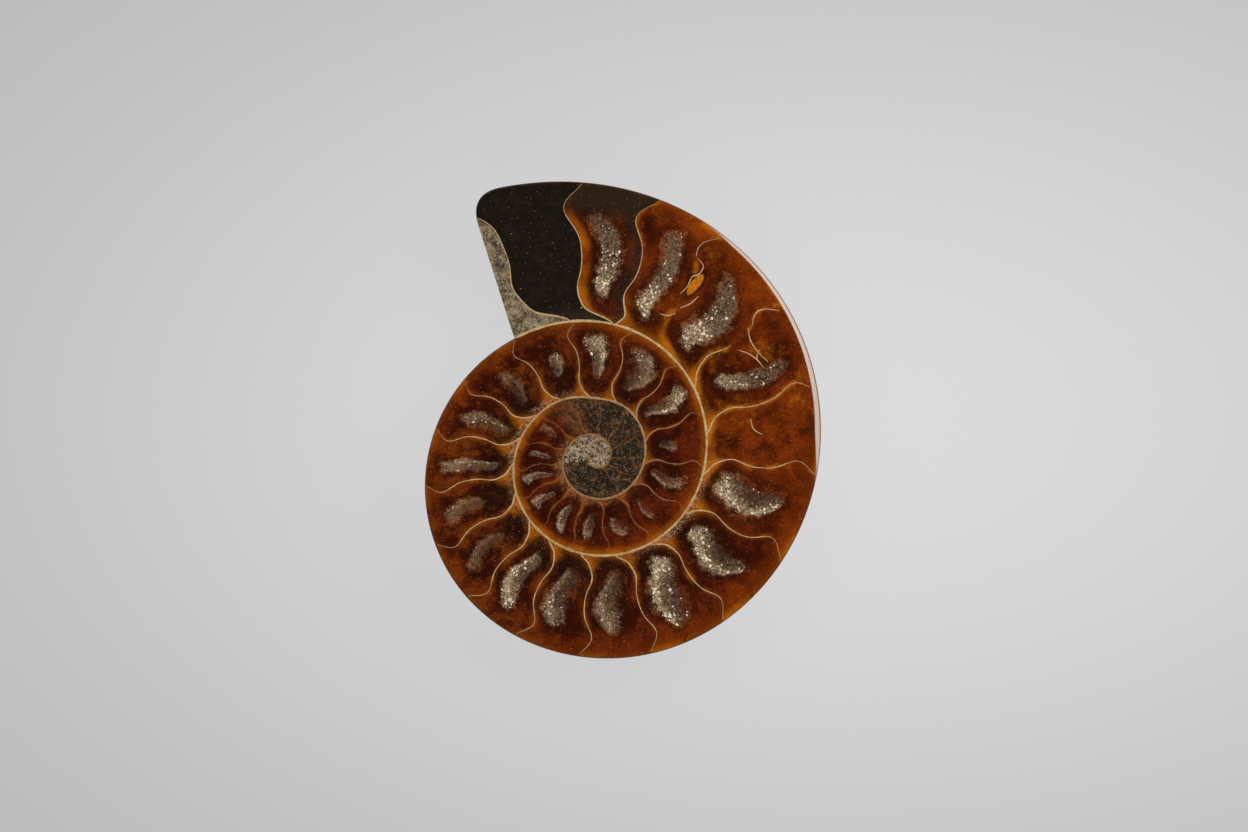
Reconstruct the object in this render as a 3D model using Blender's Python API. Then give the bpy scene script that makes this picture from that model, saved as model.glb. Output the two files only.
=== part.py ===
"""Ammonite fossil: one half of a coiled shell, cut through its plane of coiling and polished.

The half lies on its natural flank with the polished cut face up (+Z). The broken mouth is on the +Y side.
The origin is below the middle of the outline, at the level of the surface that the flank rests on.
It grew and turned to stone as one piece, so it is one closed solid.
"""
import math

import bmesh
import bpy

NAME = "ammonite_half"
MM = 0.001

# Driving dimensions, in millimetres. Angles are in degrees, anticlockwise from +X about the coiling axis.
THICKNESS = 8.5  # from the resting flank to the cut face

# The shell wall is a growth spiral: its size is a natural logarithm that rises as the shell coils.
START_RADIUS = 4.05
GROWTH = 0.66  # per turn
EARLY_LAG = 0.72  # the first turns are tighter
EARLY_FADE = 1.3  # per turn
LOPSIDED, LOPSIDED_TOWARDS = 0.035, 225
OVAL, OVAL_TOWARDS = 0.018, 58
LOBED, LOBED_TOWARDS = 0.006, 70
FLARE, FLARE_FROM, FLARE_OVER = 0.030, 1130, 60  # the shell widens towards its mouth
SWELLINGS = [  # at, spread, amount
    (450, 24, -0.07),
    (950, 35, 0.008),
    (1090, 35, 0.009),
]

# The mouth is broken off along a nearly straight line that ends on the whorl before it.
MOUTH_OUTER = (-15.2, 30.75)
MOUTH_INNER = (-10.3, 15.4)
MOUTH_CORNER = 4.0  # reach of the outer corner's rounding
MOUTH_WALL = 1.4  # width of the rounded step at the broken end
LAST_WHORL = 720  # coiling before the whorl whose venter is the outline
MOUTH_FROM = 1170  # beyond this the outline can end at the mouth
LAST_TURN_FROM, LAST_TURN_SPAN = 1080, 180  # the last turn is broken off well inside this span
HALVINGS = 40  # of the distance that holds the outline's edge

# Across the flank, as a share of the distance from the axis to the venter
CREST_INNER, CREST_OUTER = 0.30, 0.46
SHOULDER = 0.10
VENTER_POWER, VENTER_ROUND = 2.4, 0.55
FLANK_TURNS = (1, 2, 3)  # turns that show on the flank
LEVEL_FROM = 930  # the crest is level from here to the mouth, so the half lies flat
TAPER = 0.45
UMBILICUS_FLOOR = 0.60  # share of the thickness at the coiling axis

# The polished face ends in a bevel that is wide only on the right-hand side.
EDGE_BEVEL = 0.15
WIDE_BEVEL_START, WIDE_BEVEL_END = 0.75, 0.35
BEVEL_RISE = (-8, 8)
BEVEL_END = (56, 66)
BEVEL_DROP = 0.55  # depth for each millimetre of width
BEVEL_ROUND = 1.5  # power that rounds it over from the face
RIM_LIP = 0.3  # least depth of stone under the bevel's outer edge

# Stations around the outline: first angle, last angle, number of steps
STATION_RUNS = [
    (124, 464, 85),
    (464, 472, 4),
    (472, 484, 18),
]
FACE_RINGS = [0.35, 0.7, 1.0]  # share of the way from the axis to the polished face's edge
BEVEL_RINGS = [0.5, 1.0]  # share of the bevel's width
CORE_RADIUS = 12.0  # inside this circle the rings no longer follow the outline
FLANK_RINGS = [0.985, 0.96, 0.92, 0.87, 0.81, 0.73, 0.63, 0.51, 0.38, 0.25, 0.12]
CORE_RINGS = [12.0, 11.2, 10.4, 9.7, 9.0, 8.3, 7.6, 6.9, 6.3, 5.7, 5.1, 4.5, 3.9, 3.2, 2.4, 1.4]

STONE_COLOUR = (0.11, 0.028, 0.008, 1)
POLISH_ROUGHNESS = 0.25
SHARP_ANGLE = 35  # edges that bend more than this stay crisp


def smoothstep(low, high, value):
    share = min(1.0, max(0.0, (value - low) / (high - low)))
    return share * share * (3 - 2 * share)


def smooth_min(first, second, reach):
    """Smaller of two distances, rounded where they are less than `reach` apart."""
    near = max(reach - abs(first - second), 0) / reach
    return min(first, second) - near * near * reach / 4


def whorl_radius(turned):
    """Distance from the coiling axis to the shell wall after `turned` degrees of coiling."""
    turns = turned / 360
    angle = math.radians(turned)
    size = GROWTH * turns - EARLY_LAG * math.exp(-EARLY_FADE * turns)
    size += LOPSIDED * math.cos(angle - math.radians(LOPSIDED_TOWARDS))
    size += OVAL * math.cos(2 * (angle - math.radians(OVAL_TOWARDS)))
    size += LOBED * math.cos(3 * (angle - math.radians(LOBED_TOWARDS)))
    size += FLARE * max(0.0, (turned - FLARE_FROM) / FLARE_OVER) ** 2
    for at, spread, amount in SWELLINGS:
        size += amount * math.exp(-((turned - at) / spread) ** 2)
    return START_RADIUS * math.exp(size)


def mouth_direction():
    """Unit vector along the broken end, from its outer to its inner corner."""
    along_x = MOUTH_INNER[0] - MOUTH_OUTER[0]
    along_y = MOUTH_INNER[1] - MOUTH_OUTER[1]
    length = math.hypot(along_x, along_y)
    return along_x / length, along_y / length


def mouth_distance(x, y):
    """Distance from the broken end, positive on the shell's side."""
    along_x, along_y = mouth_direction()
    return (y - MOUTH_OUTER[1]) * along_x - (x - MOUTH_OUTER[0]) * along_y


def outline_radius(angle):
    """Distance from the axis to the edge, for angles from 124 to 484."""
    turned = angle + LAST_WHORL
    wall = whorl_radius(turned)
    if turned <= MOUTH_FROM:
        return wall
    inside, outside = 0.0, wall
    for _ in range(HALVINGS):
        radius = (inside + outside) / 2
        x = radius * math.cos(math.radians(angle))
        y = radius * math.sin(math.radians(angle))
        if smooth_min(wall - radius, mouth_distance(x, y), MOUTH_CORNER) > 0:
            inside = radius
        else:
            outside = radius
    return max(inside, whorl_radius(turned - 360))


def flank_shape(across):
    """Depth of one whorl as a share of its deepest, from the axis (0) to the venter (1)."""
    if across >= 1:
        return 0.0
    if across > CREST_OUTER:
        fall = (across - CREST_OUTER) / (1 - CREST_OUTER)
        return (1 - fall ** VENTER_POWER) ** VENTER_ROUND
    return smoothstep(CREST_INNER - SHOULDER, CREST_INNER, across)


def flank_depth(radius, angle, edge):
    """Depth of the natural flank below the cut face: the deepest of the whorls that lie over a point."""
    x = radius * math.cos(math.radians(angle))
    y = radius * math.sin(math.radians(angle))
    depth = UMBILICUS_FLOOR * THICKNESS * flank_shape(max(radius / edge, CREST_OUTER))
    for turn in FLANK_TURNS:
        turned = angle % 360 + 360 * turn
        wall = whorl_radius(turned)
        level = THICKNESS * min(1.0, (wall / whorl_radius(LEVEL_FROM)) ** TAPER)
        if turned > LAST_TURN_FROM:
            if turned > LAST_TURN_FROM + LAST_TURN_SPAN:
                continue
            inside = min(1.0, max(0.0, mouth_distance(x, y) / MOUTH_WALL))
            level *= math.sqrt(1 - (1 - inside) ** 2)
        depth = max(depth, level * flank_shape(radius / wall))
    return depth


def bevel_width(angle):
    """Width of the bevel between the polished face and the edge."""
    signed = (angle + 180) % 360 - 180
    window = smoothstep(*BEVEL_RISE, signed) * (1 - smoothstep(*BEVEL_END, signed))
    along = (signed - BEVEL_RISE[1]) / (BEVEL_END[0] - BEVEL_RISE[1])
    wide = WIDE_BEVEL_START + (WIDE_BEVEL_END - WIDE_BEVEL_START) * min(1.0, max(0.0, along))
    return EDGE_BEVEL + wide * window


def station_angles():
    angles = []
    for first, last, steps in STATION_RUNS:
        angles += [first + (last - first) * step / steps for step in range(steps)]
    return angles


def face_and_bevel_rings(angle, edge):
    """Radius and depth of each ring from the middle of the polished face out to the edge."""
    bevel = bevel_width(angle)
    rings = [(share * (edge - bevel), 0.0) for share in FACE_RINGS]
    rings += [(edge - bevel * (1 - share), bevel * BEVEL_DROP * share ** BEVEL_ROUND) for share in BEVEL_RINGS]
    return rings


def flank_rings(angle, edge):
    """Radius and depth of each ring from under the edge in to the umbilicus."""
    radii = [CORE_RADIUS + (edge - CORE_RADIUS) * share for share in FLANK_RINGS] + CORE_RINGS
    lip = bevel_width(angle) * BEVEL_DROP
    return [(radius, max(flank_depth(radius, angle, edge), lip + min(edge - radius, RIM_LIP)))
            for radius in radii]


def stone_material():
    material = bpy.data.materials.new("fossil_stone")
    material.use_nodes = True
    shader = material.node_tree.nodes["Principled BSDF"]
    shader.inputs["Base Color"].default_value = STONE_COLOUR
    shader.inputs["Roughness"].default_value = POLISH_ROUGHNESS
    shader.inputs["Metallic"].default_value = 0.0
    material.diffuse_color = STONE_COLOUR
    return material


def build_half(collection):
    columns = []
    for angle in station_angles():
        edge = outline_radius(angle)
        across = (math.cos(math.radians(angle)), math.sin(math.radians(angle)))
        columns.append([(radius * across[0], radius * across[1], THICKNESS - depth)
                        for radius, depth in face_and_bevel_rings(angle, edge) + flank_rings(angle, edge)])
    rings = len(columns[0])

    # A sphere's poles become the middle of the face and of the umbilicus, and each ring takes its place.
    shape = bmesh.new()
    bmesh.ops.create_uvsphere(shape, u_segments=len(columns), v_segments=rings + 1, radius=1)
    for vertex in shape.verts:
        ring = round(math.acos(max(-1.0, min(1.0, vertex.co.z))) / math.pi * (rings + 1)) - 1
        if ring < 0:
            vertex.co = (0, 0, THICKNESS)
        elif ring == rings:
            vertex.co = (0, 0, THICKNESS * (1 - UMBILICUS_FLOOR))
        else:
            share = math.atan2(vertex.co.y, vertex.co.x) / (2 * math.pi)
            vertex.co = columns[round(share * len(columns)) % len(columns)][ring]

    # The origin goes to the middle of the outline, and the sizes become metres.
    middle_x = (min(v.co.x for v in shape.verts) + max(v.co.x for v in shape.verts)) / 2
    middle_y = (min(v.co.y for v in shape.verts) + max(v.co.y for v in shape.verts)) / 2
    for vertex in shape.verts:
        vertex.co.x = (vertex.co.x - middle_x) * MM
        vertex.co.y = (vertex.co.y - middle_y) * MM
        vertex.co.z *= MM
    if shape.calc_volume(signed=True) < 0:
        bmesh.ops.reverse_faces(shape, faces=shape.faces)

    mesh = bpy.data.meshes.new(NAME)
    shape.to_mesh(mesh)
    shape.free()
    mesh.materials.append(stone_material())
    mesh.shade_smooth()
    mesh.set_sharp_from_angle(angle=math.radians(SHARP_ANGLE))
    collection.objects.link(bpy.data.objects.new(NAME, mesh))


def main():
    for old in list(bpy.data.objects):
        bpy.data.objects.remove(old, do_unlink=True)
    collection = bpy.data.collections.new("ammonite_fossil")
    bpy.context.scene.collection.children.link(collection)
    build_half(collection)


main()
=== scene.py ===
import math

import bpy
import numpy as np
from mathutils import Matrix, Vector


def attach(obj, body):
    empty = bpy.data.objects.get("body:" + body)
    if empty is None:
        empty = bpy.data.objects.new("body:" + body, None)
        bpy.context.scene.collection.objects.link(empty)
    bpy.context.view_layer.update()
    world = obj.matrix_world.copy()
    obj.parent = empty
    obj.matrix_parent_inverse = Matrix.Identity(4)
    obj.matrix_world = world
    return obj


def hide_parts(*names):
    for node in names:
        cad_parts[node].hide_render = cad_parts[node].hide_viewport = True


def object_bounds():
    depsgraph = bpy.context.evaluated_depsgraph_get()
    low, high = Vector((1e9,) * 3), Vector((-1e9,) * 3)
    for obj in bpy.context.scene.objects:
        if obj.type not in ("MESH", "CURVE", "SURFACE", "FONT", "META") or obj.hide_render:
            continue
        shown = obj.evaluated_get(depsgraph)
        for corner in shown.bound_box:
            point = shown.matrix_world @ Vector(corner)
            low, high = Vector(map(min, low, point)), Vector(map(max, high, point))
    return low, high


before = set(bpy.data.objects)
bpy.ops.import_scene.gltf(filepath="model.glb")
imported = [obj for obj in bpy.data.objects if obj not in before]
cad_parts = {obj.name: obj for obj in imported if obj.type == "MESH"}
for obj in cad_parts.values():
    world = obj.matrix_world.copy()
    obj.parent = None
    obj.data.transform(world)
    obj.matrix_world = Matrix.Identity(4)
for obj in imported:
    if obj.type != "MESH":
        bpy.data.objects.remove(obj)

cad_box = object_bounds()

# Cut and polished half of an ammonite. Lengths are in millimetres until a mesh is made, and angles are in
# degrees of coiling, anticlockwise from +X about the coiling axis.
MM = 0.001
NODE = "ammonite_half"
BODY = "root"
RANDOM_SEED = 41

# The shell wall is a growth spiral: its size is a natural logarithm that rises as the shell coils.
START_RADIUS = 4.05
GROWTH = 0.66  # per turn
EARLY_LAG, EARLY_FADE = 0.72, 1.3
LOPSIDED, LOPSIDED_TOWARDS = 0.035, 225
OVAL, OVAL_TOWARDS = 0.018, 58
LOBED, LOBED_TOWARDS = 0.006, 70
FLARE, FLARE_FROM, FLARE_OVER = 0.030, 1130, 60
SWELLINGS = [(450, 24, -0.07), (950, 35, 0.008), (1090, 35, 0.009)]  # at, spread, amount
WALL_START, WALL_END, WALL_STEP = -235, 848, 0.7  # stretch of the spiral that is a wall between two whorls
LAST_WHORL = 720  # coiling before the whorl whose venter is the outline

# The broken end
MOUTH_OUTER = (-15.2, 30.75)
MOUTH_INNER = (-10.3, 15.4)
MOUTH_CORNER = 4.0
MOUTH_WALL = 1.4
MOUTH_ANGLE = 124  # the outline starts and ends here
MOUTH_FROM = 1170  # beyond this the outline can end at the mouth
BROKEN_FACE = 1.6  # depth of bare sediment behind the broken end
HALVINGS = 40  # of the distance that holds the outline's edge

# Flank, as shares of the distance from the axis to the venter
CREST_INNER, CREST_OUTER = 0.30, 0.46
SHOULDER = 0.10
VENTER_POWER, VENTER_ROUND = 2.4, 0.55
FLANK_TURNS = (1, 2, 3)
LEVEL_FROM = 930
TAPER = 0.45
UMBILICUS_FLOOR = 0.60
RIBS, GROWTH_LINES = 34, 210  # in each turn
RIB_DEPTH, LINE_DEPTH, WEAR_DEPTH, PIT_DEPTH = 0.10, 0.015, 0.03, 0.16

# Polished edge
EDGE_BEVEL = 0.15
WIDE_BEVEL_START, WIDE_BEVEL_END = 0.75, 0.35
BEVEL_RISE, BEVEL_END = (-8, 8), (56, 66)
BEVEL_DROP = 0.55
BEVEL_ROUND = 1.5
RIM_LIP = 0.3

# Chambers: runs of count, first width and last width, in degrees, from the first septum out
FIRST_SEPTUM = 304
CHAMBER_RUNS = [
    (6, 26, 30), (3, 28, 22), (3, 21, 23), (3, 23, 27), (7, 27, 25),
    (5, 20.5, 18), (5, 19.5, 24.5), (3, 21.5, 21.5), (2, 16, 17), (1, 19.9, 19.9),
]
MOUTH_CHAMBER = 20.0  # length given to what lies beyond the last septum
# Bends of a septum: where across the whorl, their spread, and degrees forward
SEPTUM_BENDS = [(0.0, 0.055, -5.0), (0.22, 0.13, 2.6), (0.80, 0.14, 3.2), (1.0, 0.09, -1.3)]
LAST_SEPTUM_BENDS = [(0.0, 0.075, -13.0), (0.30, 0.13, 2.4), (0.90, 0.11, 3.6)]
BEND_SPREAD = 0.22  # how far each bend strays from the usual, as a share
# The last septa trail further back at the inner wall, but one of them leans forward there.
ROOT_SWEEP_FROM, ROOT_SWEEP_TO, ROOT_SWEEP = 1110, 1170, 1.3
UPRIGHT_SEPTUM, UPRIGHT_ROOT = 36, -0.8
BROKEN_SEPTA = (34, 35)
INNER_STUB, OUTER_STUB = 0.44, 0.74  # where across the whorl the first breaks off and the second begins
GREY_CHAMBERS = 6  # the innermost are packed with grey grains and have no crystal pocket
PLAIN_CHAMBER = 32  # filled to the walls, with no pocket
# A pocket's palest side is partly pale crystals and partly painted light on its lit wall.
PALE_INSIDE_FROM = 29  # pockets before this chamber are palest under the venter, later ones at the inner wall
# Crystal pockets from the seventh chamber out: how bright, where they start and end across the whorl, then
# the middle and the half width at the foot, waist and head, as shares of the chamber's length. None stands
# for a chamber without one.
POCKETS = [
    (0.15, 0.25, 0.70, 0.50, 0.50, 0.45, 0.16, 0.20, 0.14),
    (0.25, 0.30, 0.78, 0.50, 0.42, 0.30, 0.12, 0.18, 0.14),
    (0.40, 0.25, 0.74, 0.62, 0.56, 0.40, 0.10, 0.13, 0.13),
    (0.60, 0.22, 0.82, 0.58, 0.50, 0.36, 0.09, 0.15, 0.24),
    (0.62, 0.30, 0.82, 0.55, 0.46, 0.22, 0.12, 0.16, 0.20),
    (0.75, 0.26, 0.82, 0.50, 0.50, 0.50, 0.11, 0.19, 0.12),
    (0.50, 0.26, 0.74, 0.45, 0.50, 0.34, 0.12, 0.20, 0.12),
    (0.45, 0.34, 0.72, 0.40, 0.46, 0.56, 0.12, 0.20, 0.12),
    (0.30, 0.24, 0.70, 0.45, 0.44, 0.46, 0.07, 0.10, 0.08),
    (0.50, 0.16, 0.78, 0.56, 0.50, 0.48, 0.13, 0.17, 0.14),
    (0.32, 0.20, 0.52, 0.50, 0.52, 0.48, 0.10, 0.15, 0.14),
    (0.88, 0.12, 0.86, 0.64, 0.52, 0.48, 0.10, 0.17, 0.22),
    (0.55, 0.20, 0.84, 0.60, 0.50, 0.48, 0.15, 0.29, 0.26),
    (0.92, 0.28, 0.84, 0.50, 0.56, 0.50, 0.13, 0.18, 0.27),
    (0.50, 0.30, 0.64, 0.56, 0.52, 0.46, 0.13, 0.18, 0.12),
    (0.22, 0.22, 0.74, 0.60, 0.54, 0.48, 0.12, 0.17, 0.12),
    (0.36, 0.16, 0.78, 0.52, 0.58, 0.52, 0.16, 0.20, 0.13),
    (0.60, 0.14, 0.86, 0.58, 0.66, 0.46, 0.12, 0.14, 0.12),
    (0.38, 0.34, 0.82, 0.56, 0.54, 0.46, 0.10, 0.18, 0.17),
    (0.24, 0.28, 0.82, 0.52, 0.50, 0.50, 0.10, 0.17, 0.14),
    (1.00, 0.16, 0.82, 0.56, 0.46, 0.40, 0.12, 0.20, 0.15),
    (0.50, 0.18, 0.78, 0.48, 0.46, 0.34, 0.15, 0.25, 0.16),
    (0.55, 0.16, 0.76, 0.58, 0.44, 0.40, 0.15, 0.25, 0.12),
    (1.00, 0.12, 0.84, 0.58, 0.50, 0.34, 0.18, 0.28, 0.10),
    (0.90, 0.13, 0.78, 0.54, 0.48, 0.50, 0.15, 0.24, 0.07),
    (0.90, 0.13, 0.78, 0.54, 0.50, 0.50, 0.24, 0.23, 0.10),
    None,
    (0.78, 0.16, 0.80, 0.54, 0.38, 0.28, 0.14, 0.13, 0.09),
    (0.92, 0.13, 0.78, 0.50, 0.42, 0.52, 0.21, 0.21, 0.12),
    (0.88, 0.12, 0.84, 0.56, 0.52, 0.34, 0.20, 0.18, 0.18),
    (0.84, 0.16, 0.80, 0.50, 0.52, 0.56, 0.15, 0.20, 0.16),
    None,
]
# Pieces of broken septum set in the calcite: points from end to end, in millimetres from the coiling axis
SHARDS = [
    [(19.6, 16.4), (20.0, 17.9), (21.2, 18.5), (23.0, 18.3)],
    [(19.1, 16.1), (19.4, 14.6), (20.3, 13.2), (21.6, 11.9)],
    [(17.9, 13.4), (19.2, 12.9), (20.3, 12.1), (21.0, 11.2)],
    [(20.6, 13.5), (20.2, 12.6), (20.4, 11.9)],
    [(19.4, 4.8), (19.8, 3.5), (20.9, 2.8)],
    [(10.6, 18.6), (11.9, 19.2), (12.9, 20.1)],
    [(8.1, 17.9), (9.1, 17.7), (10.1, 18.0)],
    [(10.6, 20.4), (11.5, 21.3), (12.1, 22.5), (13.0, 22.9), (13.5, 23.9), (12.8, 24.9)],
]
# Clear amber fills the gap behind the last of them.
WEDGE_AT, WEDGE_TURN, WEDGE_HALF = (12.5, 21.6), 52, (1.75, 0.62)

# Where along the coil each look is strongest: at, spread, amount
CLEAR_AMBER = [(1035, 45, 0.66), (640, 62, 0.45), (1130, 30, 0.5), (880, 40, 0.35), (560, 150, 0.40),
               (770, 40, 0.45), (500, 30, 0.3), (1148, 14, 0.6)]
GRITTY_CORNERS = [(1042, 24, 1.0), (880, 45, 0.9), (560, 90, 0.5)]
DARK_CALCITE = [(930, 95, 0.65)]
WARM_CALCITE = [(1087, 12, 0.40)]
BROWN_POCKETS = [(905, 48, 0.9)]
GREY_FROM, GREY_TO = 445, 540  # the grey filling ends between these

SEPTUM_WIDTH, SEPTUM_INNER_WIDTH = 0.15, 0.09
SEPTA_FAINT, SEPTA_STRONG = 540, 930  # septa thicken and turn cream between these
SEPTUM_DEPTH = 0.12
SEPTUM_POINTS = 90
SHARD_WIDTH, SHARD_AGE, SHARD_STEPS = 0.16, 0.85, 10
WALL_WIDTH, WALL_INNER_WIDTH = 0.32, 0.23
PROUD = 0.018  # the hard shell stands this far above the softer calcite after polishing
WALL_PROUD = 0.025
EDGE_CLEARANCE = 0.02
FACE_MARGIN = 0.04  # between the end of a septum and the bevel
# Section of a septum or wall: share of its width to each side, and of its height above the face
CREST_SECTION = [
    (-0.5, -1.0), (-0.5, 0.35), (-0.25, 0.85), (0.0, 1.0), (0.25, 0.85), (0.5, 0.35), (0.5, -1.0),
]

# Mesh columns around the outline: first angle, last angle, number of steps
FACE_COLUMN_RUNS = [(MOUTH_ANGLE, 464, 520), (464, 472, 20), (472, MOUTH_ANGLE + 360, 70)]
CORE_RADIUS = 12.0  # inside this circle the rings no longer follow the outline
FACE_OUTER_RINGS, FACE_CORE_RINGS, BEVEL_RINGS = 84, 48, 5
FLANK_OUTER_RINGS, FLANK_CORE_RINGS = 46, 34
FLANK_CROWDING = 0.62  # power that draws the flank's rings towards its edge

DRUSE_DEPTH = 0.20
CRYSTAL_SIZE = (0.12, 0.40)
CRYSTALS_PER_MM2 = 12.0
CRYSTAL_FOOT, CRYSTAL_ROOT = 0.02, 0.15  # how far a crystal's widest ring and its lowest point are buried
CRYSTAL_HEADROOM = 0.005

# Table and camera, in millimetres from the middle of the fossil
TABLE_SIZE, TABLE_GAP = 1200, 0.05
# The table's emission is painted brightest at TABLE_BRIGHT and fades over TABLE_REACH, a painted pool of
# light.
TABLE_BRIGHT, TABLE_REACH = (27, 0), (128, 74)
TABLE_FALL = 1.3
# The flank rests within the first of these, and hides the table within the second; a painted contact shadow
# fills the first and fades out by the second.
CONTACT_RADIUS, OVERHANG_RADIUS = 11.0, 18.5
VIEW_CENTRE, VIEW_WIDTH = (0.125, 0.5), 156.0
LENS, SENSOR = 100.0, 36.0
SOFTBOXES = [  # name, azimuth and elevation in degrees, distance and size in metres, power in watts
    ("right_softbox", 28, 42, 0.55, 0.30, 1.5),
    ("left_softbox", 165, 48, 0.60, 0.40, 1.0),
    ("front_softbox", 270, 50, 0.60, 0.40, 0.9),
    ("back_softbox", 95, 50, 0.60, 0.40, 0.9),
]
ROOM_LIGHT = 0.03


def smoothstep(low, high, value):
    share = np.clip((value - low) / (high - low), 0, 1)
    return share * share * (3 - 2 * share)


def bump(value, at, spread):
    return np.exp(-((value - at) / spread) ** 2)


def swell(turned, places):
    """Sum of bumps along the coil, each given as where it is, its spread and its amount."""
    return sum(amount * bump(turned, at, spread) for at, spread, amount in places)


def from_axis(radius, angle):
    """x and y at a distance and an angle from the coiling axis."""
    return radius * np.cos(np.radians(angle)), radius * np.sin(np.radians(angle))


def about_axis(x, y):
    """Distance from the coiling axis, and angle from 0 to 360."""
    return np.hypot(x, y), np.degrees(np.arctan2(y, x)) % 360


def whorl_radius(turned):
    """Distance from the coiling axis to the shell wall."""
    turned = np.asarray(turned, float)
    turns, angle = turned / 360, np.radians(turned)
    size = GROWTH * turns - EARLY_LAG * np.exp(-EARLY_FADE * turns)
    size = size + LOPSIDED * np.cos(angle - math.radians(LOPSIDED_TOWARDS))
    size = size + OVAL * np.cos(2 * (angle - math.radians(OVAL_TOWARDS)))
    size = size + LOBED * np.cos(3 * (angle - math.radians(LOBED_TOWARDS)))
    size = size + FLARE * np.maximum(0, (turned - FLARE_FROM) / FLARE_OVER) ** 2
    return START_RADIUS * np.exp(size + swell(turned, SWELLINGS))


def mouth_distance(x, y):
    """Distance from the broken end, positive on the shell's side."""
    along = np.array(MOUTH_INNER) - np.array(MOUTH_OUTER)
    along = along / np.linalg.norm(along)
    return (y - MOUTH_OUTER[1]) * along[0] - (x - MOUTH_OUTER[0]) * along[1]


def outline_radius(angle):
    """Distance from the axis to the edge, for angles of one turn that starts at the mouth."""
    wall = whorl_radius(angle + LAST_WHORL)
    inside, outside = np.zeros_like(wall), wall.copy()
    for _ in range(HALVINGS):
        radius = (inside + outside) / 2
        to_wall, to_mouth = wall - radius, mouth_distance(*from_axis(radius, angle))
        near = np.maximum(MOUTH_CORNER - np.abs(to_wall - to_mouth), 0) / MOUTH_CORNER
        kept = np.minimum(to_wall, to_mouth) - near * near * MOUTH_CORNER / 4 > 0
        inside, outside = np.where(kept, radius, inside), np.where(kept, outside, radius)
    broken = np.maximum(inside, whorl_radius(angle + LAST_WHORL - 360))
    return np.where(angle + LAST_WHORL <= MOUTH_FROM, wall, broken)


def bevel_width(angle):
    signed = (angle + 180) % 360 - 180
    window = smoothstep(*BEVEL_RISE, signed) * (1 - smoothstep(*BEVEL_END, signed))
    along = np.clip((signed - BEVEL_RISE[1]) / (BEVEL_END[0] - BEVEL_RISE[1]), 0, 1)
    return EDGE_BEVEL + (WIDE_BEVEL_START + (WIDE_BEVEL_END - WIDE_BEVEL_START) * along) * window


def columns(runs):
    return np.concatenate([first + (last - first) * np.arange(steps) / steps for first, last, steps in runs])


ANGLES = columns(FACE_COLUMN_RUNS)
EDGE = outline_radius(ANGLES) - EDGE_CLEARANCE
BEVEL = bevel_width(ANGLES)
EDGE_X, EDGE_Y = from_axis(EDGE, ANGLES)
# The coiling axis's place follows from the frame's box and the outline's own extents.
AXIS_X = (cad_box[0].x + cad_box[1].x) / 2 / MM - (EDGE_X.min() + EDGE_X.max()) / 2
AXIS_Y = (cad_box[0].y + cad_box[1].y) / 2 / MM - (EDGE_Y.min() + EDGE_Y.max()) / 2
THICKNESS = (cad_box[1].z - cad_box[0].z) / MM
TOP = cad_box[0].z / MM + THICKNESS
FACE = TOP - WALL_PROUD  # level of the polished calcite


# ---- whorl coordinates -------------------------------------------------------------------------------------

def septa_angles():
    angles = [FIRST_SEPTUM]
    for count, first, last in CHAMBER_RUNS:
        for step in range(count):
            angles.append(angles[-1] + first + (last - first) * step / max(count - 1, 1))
    return np.array(angles, float)


SEPTA = septa_angles()
LAST_SEPTUM = len(SEPTA) - 1


def bend_variation():
    """How strong each bend of each septum is, beside the usual."""
    variation = np.random.RandomState(RANDOM_SEED)
    strength = 1 + variation.uniform(-BEND_SPREAD, BEND_SPREAD, (len(SEPTA), len(SEPTUM_BENDS)))
    strength[:, 0] += ROOT_SWEEP * smoothstep(ROOT_SWEEP_FROM, ROOT_SWEEP_TO, SEPTA)
    strength[UPRIGHT_SEPTUM, 0] = UPRIGHT_ROOT
    return strength


BEND_STRENGTH = bend_variation()


def septum_angle(index, across):
    """Degrees of coiling of a septum at each share across its whorl."""
    usual, ending = np.zeros_like(across), np.zeros_like(across)
    for bend, (at, spread, degrees) in enumerate(SEPTUM_BENDS):
        usual = usual + degrees * BEND_STRENGTH[index, bend] * bump(across, at, spread)
    for at, spread, degrees in LAST_SEPTUM_BENDS:
        ending = ending + degrees * bump(across, at, spread)
    return SEPTA[index] + np.where(np.equal(index, LAST_SEPTUM), ending, usual)


def whorl_place(x, y):
    """Degrees of coiling, share across the whorl, and the whorl's inner and outer radius at each point."""
    radius, angle = about_axis(x, y)
    turned = angle - 360
    for turn in range(4):
        turned = np.where(radius > whorl_radius(angle + 360 * (turn - 1)), angle + 360 * turn, turned)
    outer = whorl_radius(turned)
    inner = np.where(turned < 0, 0, whorl_radius(turned - 360))
    return turned, (radius - inner) / (outer - inner), inner, outer


def chamber_place(turned, across):
    """Index of the chamber, share along it, and its length in degrees at each point."""
    guess = np.clip(np.searchsorted(SEPTA, turned) - 1, 0, LAST_SEPTUM)
    index = guess.copy()
    clipped = np.clip(across, 0, 1)
    for shift in (-1, 0, 1):
        candidate = np.clip(guess + shift, 0, LAST_SEPTUM)
        index = np.where(septum_angle(candidate, clipped) <= turned, candidate, index)
    following = np.clip(index + 1, 0, LAST_SEPTUM)
    start = septum_angle(index, clipped)
    length = np.where(following > index, septum_angle(following, clipped) - start, MOUTH_CHAMBER)
    return index, (turned - start) / np.maximum(length, 1e-6), length


def pocket_place(index, along, across):
    """How bright a pocket is, and the place in it: -1 to 1 from its older to its newer side and outwards."""
    table = np.zeros((len(SEPTA), len(POCKETS[0])))
    table[:, 2:] = 1.0
    for number, row in enumerate(POCKETS):
        if row:
            table[GREY_CHAMBERS + number] = row
    light, low, high, *line = np.moveaxis(table[index], -1, 0)
    v = 2 * (across - low) / (high - low) - 1
    t = np.clip(v, -1, 1)
    middle, half = (waist + (head - foot) * t / 2 + (head + foot - 2 * waist) * t * t / 2
                    for foot, waist, head in (line[:3], line[3:]))
    return light, (along - middle) / half, v


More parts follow.
